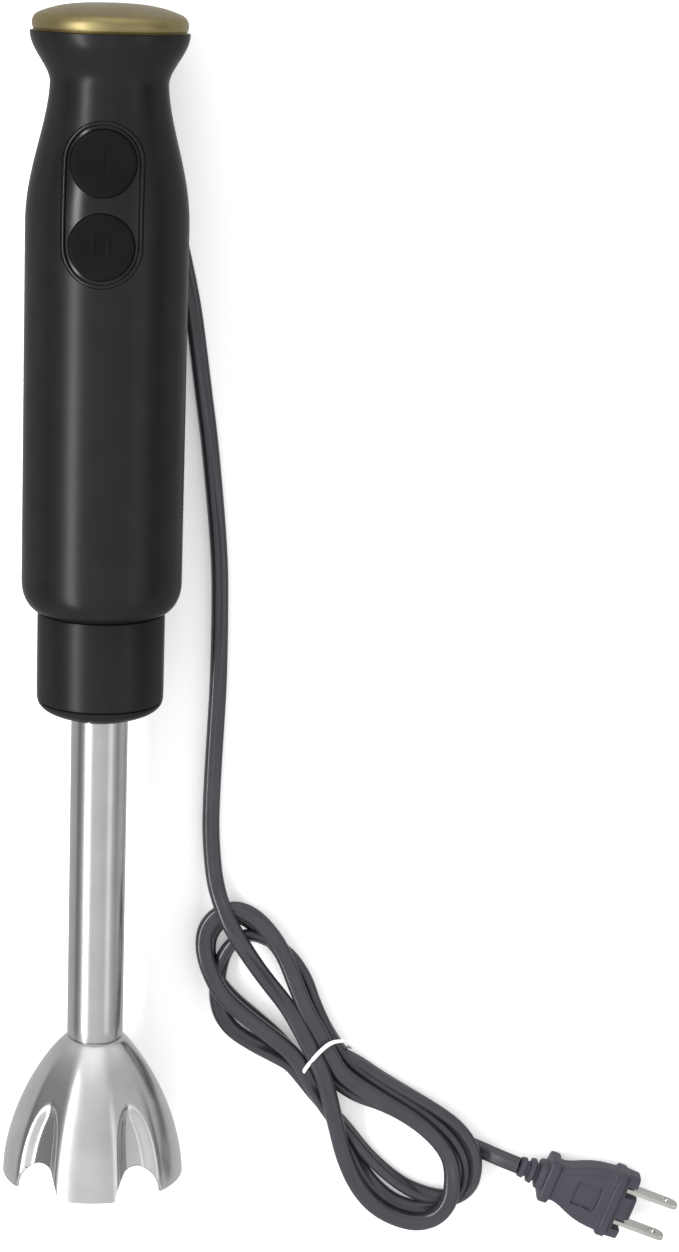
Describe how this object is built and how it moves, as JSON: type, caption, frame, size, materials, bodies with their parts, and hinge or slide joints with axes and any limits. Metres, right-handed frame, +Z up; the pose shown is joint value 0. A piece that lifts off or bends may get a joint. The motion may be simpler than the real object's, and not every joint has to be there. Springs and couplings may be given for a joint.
{
  "type": "immersion blender",
  "caption": "Corded immersion blender lying on its back: black handle with two speed buttons, steel rod with a petalled bell guard, folded and tied lead with a flat two-pin plug.",
  "frame": {"origin": "bottom centre of the box of the blender without its lead, on the surface that it lies on", "axes": "+Z up out of the surface and out of the button face, +Y along the tool towards its cap, +X to the right of a person facing the buttons with the cap up"},
  "size_m": [0.2375, 0.4268, 0.0607],
  "materials": {
    "soft_black": "soft-touch black plastic",
    "champagne": "satin champagne-gold anodised aluminium",
    "gloss_black": "glossy black plastic",
    "button_black": "satin black plastic",
    "spring_steel": "bright steel",
    "board_green": "circuit board",
    "switch_cream": "natural nylon",
    "chip_black": "moulded black plastic",
    "capacitor_yellow": "yellow box capacitor",
    "wire_red": "wire insulation",
    "cord_black": "satin black vinyl",
    "zinc_steel": "zinc-plated steel",
    "ferrite": "ferrite and carbon",
    "bronze": "sintered bronze",
    "copper": "copper",
    "rubber_black": "black rubber",
    "brushed_steel": "brushed stainless steel",
    "tie_white": "white plastic-coated wire",
    "plug_black": "moulded black vinyl",
    "nickel": "nickel-plated brass"
  },
  "bodies": {
    "handle": {"front_shell": "soft_black", "rear_shell": "soft_black", "top_cap": "champagne", "button_panel": "gloss_black", "button_spring_1": "spring_steel", "button_spring_2": "spring_steel", "switch_board": "board_green", "button_switches": "switch_cream", "rectifier": "chip_black", "suppressor": "capacitor_yellow", "inner_leads": "wire_red", "cord_clamp": "chip_black", "clamp_screws": "spring_steel", "cord_bush": "cord_black", "shell_screws": "spring_steel", "motor_can": "zinc_steel", "motor_magnets": "ferrite", "motor_end_cap": "switch_cream", "motor_bushes": "bronze", "carbon_brushes": "ferrite", "motor_mount": "chip_black", "motor_screws": "spring_steel", "motor_damper": "rubber_black", "bayonet_ring": "chip_black", "cord": "cord_black", "cord_hank": "cord_black", "cord_tail": "cord_black", "wire_tie": "tie_white", "plug_body": "plug_black", "plug_blades": "nickel"},
    "button_1": {"speed_button_1": "button_black"},
    "button_2": {"speed_button_2": "button_black"},
    "drive": {"armature_core": "zinc_steel", "armature_windings": "copper", "commutator": "copper", "motor_shaft": "spring_steel", "cooling_fan": "switch_cream", "drive_socket": "switch_cream", "drive_shaft": "spring_steel", "drive_plug": "switch_cream", "thrust_washer": "spring_steel", "blade_hub": "brushed_steel", "blade": "brushed_steel", "blade_nut": "spring_steel"},
    "rod": {"rod_collar": "soft_black", "collar_cap": "soft_black", "tube": "brushed_steel", "tube_carrier": "chip_black", "upper_bearing": "bronze", "middle_bearing": "switch_cream", "bell_guard": "brushed_steel", "bearing_housing": "brushed_steel", "lower_bearing": "bronze", "lip_seal": "rubber_black"}
  },
  "joints": [
    {"name": "button_1_press", "type": "slide", "parent": "handle", "child": "button_1", "axis": [0, -0.0093, -1], "range_m": [0, 0.002], "stiffness_N_per_m": 700, "springref_m": -0.002, "deforming": ["button_spring_1"]},
    {"name": "button_2_press", "type": "slide", "parent": "handle", "child": "button_2", "axis": [0, -0.0093, -1], "range_m": [0, 0.002], "stiffness_N_per_m": 700, "springref_m": -0.002, "deforming": ["button_spring_2"]},
    {"name": "blade_spin", "type": "hinge", "parent": "handle", "child": "drive", "pos_m": [0, -0.18505, 0.02943], "axis": [0, 1, -0.0093], "continuous": true},
    {"name": "rod_twist", "type": "hinge", "parent": "handle", "child": "rod", "pos_m": [0, 0.00654, 0.02766], "axis": [0, 1, -0.0093], "range_deg": [0, 30]}
  ]
}
